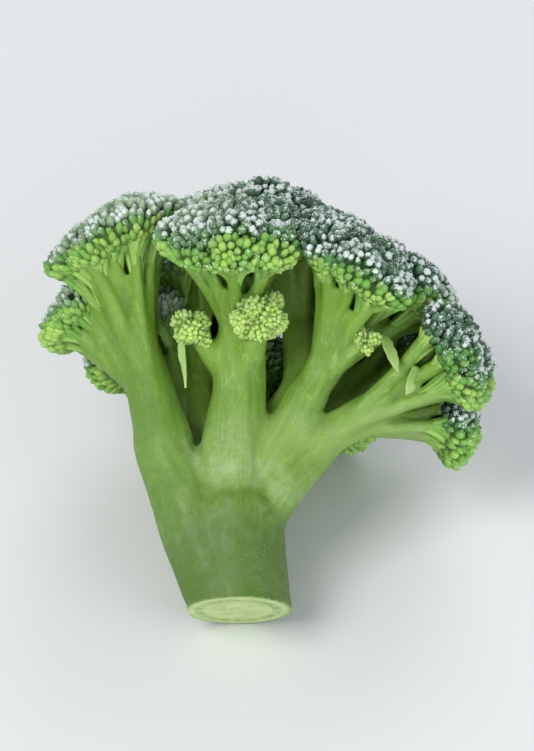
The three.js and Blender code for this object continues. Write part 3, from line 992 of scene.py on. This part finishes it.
class Nodes:
    """A short way to add linked nodes to a node tree."""

    def __init__(self, tree):
        self.tree = tree

    def add(self, kind, inputs=(), **settings):
        """Adds a node of a kind, sets its properties, and sets or links its inputs by name or number."""
        node = self.tree.nodes.new(kind)
        for key, value in settings.items():
            setattr(node, key, value)
        for key, value in dict(inputs).items():
            if isinstance(value, bpy.types.NodeSocket):
                self.tree.links.new(value, node.inputs[key])
            else:
                node.inputs[key].default_value = value
        return node

    def maths(self, operation, a, b):
        """One Math node's result."""
        return self.add("ShaderNodeMath", {0: a, 1: b}, operation=operation).outputs[0]

    def times(self, a, b):
        """The product of two values."""
        return self.maths("MULTIPLY", a, b)

    def plus(self, a, b):
        """The sum of two values."""
        return self.maths("ADD", a, b)

    def mix(self, share, a, b, blend_type="MIX"):
        """Two colours mixed by a share."""
        inputs = {0: share, 6: a, 7: b}
        return self.add("ShaderNodeMix", inputs, data_type="RGBA", blend_type=blend_type).outputs[2]

    def ramp(self, value, low, high, to_low=0.0, to_high=1.0):
        """A value mapped smoothly from low..high to to_low..to_high."""
        node = self.add(
            "ShaderNodeMapRange",
            {"Value": value, "From Min": low, "From Max": high, "To Min": to_low, "To Max": to_high},
            interpolation_type="SMOOTHSTEP",
        )
        return node.outputs["Result"]

    def noise(self, vector, scale, detail=2.0, roughness=0.5):
        """Noise of a scale given in turns per metre."""
        node = self.add(
            "ShaderNodeTexNoise",
            {"Vector": vector, "Scale": scale, "Detail": detail, "Roughness": roughness},
        )
        return node.outputs["Fac"]


def new_group(name, inputs, outputs):
    """A shader node group with named inputs and outputs, given as (name, kind, default)."""
    group = bpy.data.node_groups.new(name, "ShaderNodeTree")
    for label, kind, default in inputs:
        made = group.interface.new_socket(label, in_out="INPUT", socket_type="NodeSocket" + kind)
        if default is not None:
            made.default_value = default
    for label, kind in outputs:
        group.interface.new_socket(label, in_out="OUTPUT", socket_type="NodeSocket" + kind)
    return group


def rime_group():
    """Frost lying in patches: a mask of small crystals, denser where the patches are, and its height."""
    group = new_group(
        "rime",
        [("Vector", "Vector", None), ("Amount", "Float", 0.5), ("Patch scale", "Float", 170.0),
         ("Crystal scale", "Float", 2600.0)],
        [("Mask", "Float"), ("Height", "Float")],
    )
    n = Nodes(group)
    given = n.add("NodeGroupInput").outputs
    patches = n.noise(given["Vector"], given["Patch scale"], 3.0, 0.6)
    crystals = n.noise(given["Vector"], given["Crystal scale"], 3.0, 0.65)
    wanted = n.times(given["Amount"], n.ramp(patches, 0.28, 0.62, 0.4, 1.25))
    level = n.maths("SUBTRACT", 0.86, n.times(wanted, 0.62))
    over = n.maths("SUBTRACT", crystals, level)
    mask = n.ramp(over, -0.06, 0.10)
    n.add("NodeGroupOutput", {"Mask": mask, "Height": n.times(mask, crystals)})
    return group


def new_material(name):
    """An empty node material, its Nodes helper and its Principled shader."""
    material = bpy.data.materials.new(name)
    material.use_nodes = True
    tree = material.node_tree
    tree.nodes.clear()
    n = Nodes(tree)
    shader = n.add("ShaderNodeBsdfPrincipled")
    n.add("ShaderNodeOutputMaterial", {0: shader.outputs[0]})
    return material, n, shader


def attribute(n, name):
    """A named vertex value."""
    return n.add("ShaderNodeAttribute", attribute_name=name).outputs["Fac"]


def object_vector(n):
    """The place on the piece, in metres, so that patterns keep their size and stay where they are."""
    return n.add("ShaderNodeTexCoord").outputs["Object"]


def paint(n, shader, colour, roughness):
    """Links a colour and a roughness to the shader."""
    n.tree.links.new(colour, shader.inputs["Base Color"])
    n.tree.links.new(roughness, shader.inputs["Roughness"])


def let_light_in(shader, weight, radius, depth):
    """Light enters the surface and leaves near by: the depth is in metres, and the radius is its share of
    that for red, green and blue."""
    shader.inputs["Subsurface Weight"].default_value = weight
    shader.inputs["Subsurface Radius"].default_value = radius
    shader.inputs["Subsurface Scale"].default_value = depth


def bump(n, shader, height, distance, strength):
    """Gives the shader a bumped normal, with the distance in metres."""
    node = n.add("ShaderNodeBump", {"Height": height, "Distance": distance, "Strength": strength})
    n.tree.links.new(node.outputs[0], shader.inputs["Normal"])


def bud_material(name, dark, mid, turning, pale, bright, frost, gap_shade, rime):
    """Flower buds: dark to mid in the sun, pale to bright underneath, and turning in between, each a
    little different. They are darkened by painted shade where they meet and in the creases, and are
    lighter at the tip, with rime on the tips."""
    dark, mid, turning, pale, bright = (linear(tone) for tone in (dark, mid, turning, pale, bright))
    material, n, shader = new_material(name)
    vector = object_vector(n)
    tip = attribute(n, "tip")
    shade = attribute(n, "shade")
    tint = attribute(n, "tint")
    mottle = n.noise(vector, 330.0, 3.0)
    sun = n.mix(n.ramp(n.plus(tint, n.times(mottle, 0.8)), 0.4, 1.3), dark, mid)
    under = n.mix(n.ramp(n.plus(tint, mottle), 0.6, 1.4), pale, bright)
    blotch = n.times(n.maths("SUBTRACT", mottle, 0.5), 0.5)
    grown = n.plus(shade, blotch)
    colour = n.mix(n.ramp(grown, 0.05, 0.50), sun, turning)
    colour = n.mix(n.ramp(grown, 0.40, 0.95), colour, under)

    # A thin haze of frost where the buds lie in the sun, in patches
    haze = n.noise(vector, 150.0, 2.0)
    bloom = attribute(n, "bloom")
    lying = n.times(bloom, n.ramp(haze, 0.25, 0.6, 0.35, 1.0))
    lying = n.times(lying, n.ramp(shade, 0.12, 0.60, 1.0, 0.0))
    colour = n.mix(n.times(lying, 0.85), colour, linear("#98b18d"))

    # Painted shade between the buds and in the creases between swellings, darkest at the buds' bases
    gap = n.plus(n.times(bloom, 0.25), gap_shade)
    deep = n.ramp(tip, 0.25, 0.8, gap, 1.15)
    crease = n.ramp(attribute(n, "crease"), 0.0, 1.0, 1.0, 0.72)
    tone = n.times(deep, crease)
    painted_shade = n.add("ShaderNodeCombineColor", {0: tone, 1: tone, 2: tone}).outputs[0]
    colour = n.mix(1.0, colour, painted_shade, "MULTIPLY")

    # Rime on the tips, most on the buds in the sun
    amount = n.times(n.ramp(tip, 0.45, 0.95), attribute(n, "frosty"))
    amount = n.times(amount, n.ramp(shade, 0.2, 0.9, 1.0, 0.15))
    amount = n.times(amount, frost)
    ice = n.add("ShaderNodeGroup", {"Vector": vector, "Amount": amount}, node_tree=rime)
    colour = n.mix(n.times(ice.outputs["Mask"], 0.84), colour, linear("#dbe7e3"))
    paint(n, shader, colour, n.ramp(ice.outputs["Mask"], 0.0, 1.0, 0.6, 0.75))
    let_light_in(shader, 0.12, (0.6, 1.0, 0.3), 0.0008)
    shader.inputs["Specular IOR Level"].default_value = 0.28
    fine = n.noise(vector, 5200.0, 2.0)
    height = n.plus(n.times(fine, 0.35), ice.outputs["Height"])
    bump(n, shader, height, 0.00012, 0.6)
    return material


def ice_material():
    """The loose ice grains: nearly white, a little see-through at the edges."""
    material, n, shader = new_material("ice_grain")
    vector = object_vector(n)
    tone = n.noise(vector, 900.0, 2.0)
    colour = n.mix(tone, linear("#c9dadb"), linear("#f6fbfb"))
    paint(n, shader, colour, n.ramp(tone, 0.3, 0.7, 0.25, 0.5))
    let_light_in(shader, 0.3, (1.0, 1.0, 1.0), 0.0003)
    return material


def stem_material(rime):
    """Stem skin: green with fine lengthwise fibres, with painted shade in the fibre grooves and the
    hollows between stems, a painted shadow on the stalk and painted shade low on the left branch, and
    hazed with frost at the fork. The face that the knife left is paler and moist, with a ring of strands
    round the pith."""
    material, n, shader = new_material("stem_skin")
    vector = object_vector(n)
    rise = attribute(n, "rise")
    hollow = attribute(n, "hollow")
    fibre = attribute(n, "fibre")
    broad = n.noise(vector, 110.0, 3.0)
    mottle = n.noise(vector, 700.0, 4.0, 0.6)

    # Threads run along the ridges: noise that changes across the fibres and wanders slowly along them
    wander = n.noise(vector, 260.0, 2.0)
    across = n.times(fibre, 3.0)
    threads_at = n.add("ShaderNodeCombineXYZ", {0: across, 1: wander, 2: 0.0}).outputs[0]
    threads = n.noise(threads_at, 2.6, 3.0, 0.6)
    higher = n.plus(broad, n.times(rise, 0.10))
    skin = n.mix(n.ramp(higher, 0.38, 0.78), linear("#759934"), linear("#5f8a18"))
    skin = n.mix(n.times(n.ramp(threads, 0.42, 0.70), 0.55), skin, linear("#98ba50"))
    # Painted shade in the grooves between the fibres, where the fibre height is below 0
    skin = n.mix(n.times(n.ramp(fibre, -0.1, -0.9), 0.40), skin, linear("#557f26"))
    skin = n.mix(n.times(n.ramp(mottle, 0.5, 0.8), 0.3), skin, linear("#567e2c"))

    # Painted shade deeper in the hollows, a painted shadow on the stalk, and painted shade low on the left
    # branch
    hollow_shade = n.times(n.ramp(hollow, 0.10, 0.80), n.ramp(rise, 0.85, 1.15, 0.10, 0.88))
    skin = n.mix(hollow_shade, skin, linear("#3d6612"))
    # Painted shadow on the stalk: darker the lower it is, with ragged edges
    ragged = n.plus(rise, n.times(n.maths("SUBTRACT", broad, 0.5), 1.1))
    skin = n.mix(n.ramp(ragged, 0.95, 0.42, 0.0, 0.92), skin, linear("#4c6c1e"))
    # Painted shade on the left branch, deeper the lower it is
    east = n.add("ShaderNodeSeparateXYZ", {0: vector}).outputs[0]
    east = n.plus(east, n.times(n.maths("SUBTRACT", broad, 0.5), 0.006))
    on_left = n.ramp(east, -0.0070, -0.0105)
    left_branch_shade = n.times(on_left, n.ramp(ragged, 2.0, 1.2, 0.0, 0.50))
    skin = n.mix(left_branch_shade, skin, linear("#4c7a1c"))

    # Frost haze: a little everywhere, and more at the fork, but not on the left
    at_fork = n.times(n.ramp(ragged, 0.62, 0.90), n.ramp(ragged, 1.30, 1.00))
    at_fork = n.times(at_fork, n.ramp(on_left, 0.0, 1.0, 1.0, 0.15))
    skin = n.mix(n.times(at_fork, 0.34), skin, linear("#94b264"))
    haze = n.times(n.ramp(broad, 0.40, 0.62), n.ramp(n.noise(vector, 900.0, 4.0, 0.7), 0.3, 0.7))
    thick = n.plus(n.times(at_fork, 0.34), 0.13)
    skin = n.mix(n.times(haze, thick), skin, linear("#a9be94"))

    # The cut face, from its middle outwards: pith, ring of strands, and a green edge
    flesh = n.mix(n.ramp(mottle, 0.35, 0.7), linear("#c0d096"), linear("#adc47c"))
    core = n.plus(attribute(n, "core"), n.times(broad, 0.10))
    ring = n.times(n.ramp(core, 0.66, 0.74), n.ramp(core, 0.90, 0.80))
    strands = n.ramp(n.noise(vector, 1500.0, 1.0), 0.45, 0.6, 0.35, 0.9)
    flesh = n.mix(n.times(ring, strands), flesh, linear("#7fa24c"))
    flesh = n.mix(n.ramp(core, 0.94, 1.04), flesh, linear("#7c9e46"))
    colour = n.mix(attribute(n, "cut"), skin, flesh)

    frost = {"Vector": vector, "Amount": 0.30, "Crystal scale": 5200.0}
    ice = n.add("ShaderNodeGroup", frost, node_tree=rime)
    colour = n.mix(n.times(ice.outputs["Mask"], 0.4), colour, linear("#d6e2cf"))
    paint(n, shader, colour, n.ramp(mottle, 0.3, 0.7, 0.42, 0.6))
    let_light_in(shader, 0.25, (0.7, 1.0, 0.35), 0.0015)
    height = n.plus(n.times(threads, 0.8), n.times(mottle, 0.4))
    bump(n, shader, n.plus(height, ice.outputs["Height"]), 0.00015, 0.6)
    return material


def bract_material(rime):
    """Scale leaves: pale green with fine veins along the blade, yellower at the tip."""
    material, n, shader = new_material("bract_skin")
    vector = object_vector(n)
    across = attribute(n, "across")
    lengthwise = attribute(n, "lengthwise")
    across = n.times(across, 4.0)
    veins_at = n.add("ShaderNodeCombineXYZ", {0: across, 1: lengthwise, 2: 0.0}).outputs[0]
    veins = n.noise(veins_at, 2.2, 3.0, 0.6)
    colour = n.mix(lengthwise, linear("#86ad56"), linear("#aecb7c"))
    colour = n.mix(n.times(n.ramp(veins, 0.45, 0.7), 0.5), colour, linear("#c2d899"))
    ice = n.add("ShaderNodeGroup", {"Vector": vector, "Amount": 0.25}, node_tree=rime)
    colour = n.mix(n.times(ice.outputs["Mask"], 0.5), colour, linear("#e6efe6"))
    paint(n, shader, colour, n.ramp(veins, 0.3, 0.7, 0.42, 0.58))
    let_light_in(shader, 0.3, (0.7, 1.0, 0.35), 0.001)
    bump(n, shader, veins, 0.0001, 0.5)
    return material


# ---------------------------------------------------------------- assembly

RIME = rime_group()
BUDS = bud_material(
    "buds",
    dark="#284636",
    mid="#466c54",
    turning="#4a7c3e",
    pale="#6c9e44",
    bright="#93b95a",
    frost=1.0,
    gap_shade=0.38,
    rime=RIME,
)
SHOOT_BUDS = bud_material(
    "shoot_buds",
    dark="#8fb052",
    mid="#a0c064",
    turning="#9dbe60",
    pale="#a2c263",
    bright="#b0cd76",
    frost=0.3,
    gap_shade=0.75,
    rime=RIME,
)
ICE = ice_material()
STEM = stem_material(RIME)
BRACT = bract_material(RIME)

caps = {
    node: Cap(node, RIM.get(node, RIM_ELSEWHERE), UNDERCUT, BUD_SPACING, relief=1.0, fullness=FULLNESS)
    for node in HEADS
}
shoots = [
    Cap(node, SHOOT_RIM, SHOOT_UNDERCUT, SHOOT_SPACING, relief=SHOOT_RELIEF, fullness=1.0)
    for node in SHOOTS
]
growth = np.random.default_rng(SEED)
limbs = [Stem(node, caps, growth) for node in CARRIED]

for node, cap in caps.items():
    piece = bud_head(cap, [BUDS, ICE], SHADE_BIAS.get(node, 0.0), frost=1.0)
    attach(piece, "root")
    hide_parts(node)

for cap in shoots:
    piece = bud_head(cap, [SHOOT_BUDS, ICE], SHOOT_SHADE, SHOOT_FROST)
    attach(piece, "root")
    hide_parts(cap.node)

for node in BRACTS:
    piece = bract(node, [BRACT])
    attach(piece, "root")
    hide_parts(node)

body = stems([STEM], limbs, shoots)
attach(body, "root")
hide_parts("stalk", *CARRIED)


# ---------------------------------------------------------------- floor, light and camera

def plane(name, corners, colour):
    """A flat four-cornered stage piece."""
    mesh = bpy.data.meshes.new(name)
    mesh.from_pydata(corners, [], [(0, 1, 2, 3)])
    material, _, shader = new_material(name)
    shader.inputs["Base Color"].default_value = linear(colour)
    shader.inputs["Roughness"].default_value = 0.9
    mesh.materials.append(material)
    piece = bpy.data.objects.new(name, mesh)
    bpy.context.scene.collection.objects.link(piece)


FLOOR_HALF = 1.5  # half the floor's width, in metres
FLOOR_CORNERS = [(x * FLOOR_HALF, y * FLOOR_HALF, 0) for x, y in ((-1, -1), (1, -1), (1, 1), (-1, 1))]
plane("floor", FLOOR_CORNERS, "#dfe1e3")


def area_light(name, place, target, size, power, colour=(1, 1, 1)):
    """A square soft light that faces its target."""
    light = bpy.data.lights.new(name, "AREA")
    light.size = size
    light.energy = power
    light.color = colour
    piece = bpy.data.objects.new(name, light)
    piece.location = place
    piece.rotation_euler = (Vector(target) - Vector(place)).to_track_quat("-Z", "Y").to_euler()
    bpy.context.scene.collection.objects.link(piece)


low, high = (Vector(corner) for corner in cad_box)
middle = (low + high) / 2.0
area_light("key", (-0.28, -0.22, 0.42), middle, 0.30, 1.9, (1.0, 0.98, 0.95))
area_light("fill", (0.35, -0.30, 0.20), middle, 0.40, 0.9, (0.95, 0.98, 1.0))
area_light("front", (0.02, -0.50, 0.16), middle, 0.35, 0.8)
area_light("rim", (0.10, 0.40, 0.30), middle, 0.30, 0.8)

world = bpy.data.worlds.new("studio")
world.use_nodes = True
world.node_tree.nodes["Background"].inputs[0].default_value = (0.93, 0.96, 1.0, 1.0)
world.node_tree.nodes["Background"].inputs[1].default_value = 0.36
bpy.context.scene.world = world
bpy.context.scene.view_settings.view_transform = "Standard"

CAMERA_ELEVATION = 41.0
CAMERA_DISTANCE = 0.42
FRAME_WIDTH = 0.057  # width of what the camera sees at the head

camera_data = bpy.data.cameras.new("camera")
camera_data.sensor_fit = "HORIZONTAL"
camera_data.sensor_width = 36.0
camera_data.lens = 36.0 * CAMERA_DISTANCE / FRAME_WIDTH
camera_data.clip_start = 0.01
camera = bpy.data.objects.new("camera", camera_data)
elevation = np.radians(CAMERA_ELEVATION)
camera.location = middle + Vector((0.0, -np.cos(elevation), np.sin(elevation))) * CAMERA_DISTANCE
camera.rotation_euler = (middle - camera.location).to_track_quat("-Z", "Y").to_euler()
bpy.context.scene.collection.objects.link(camera)
bpy.context.scene.camera = camera
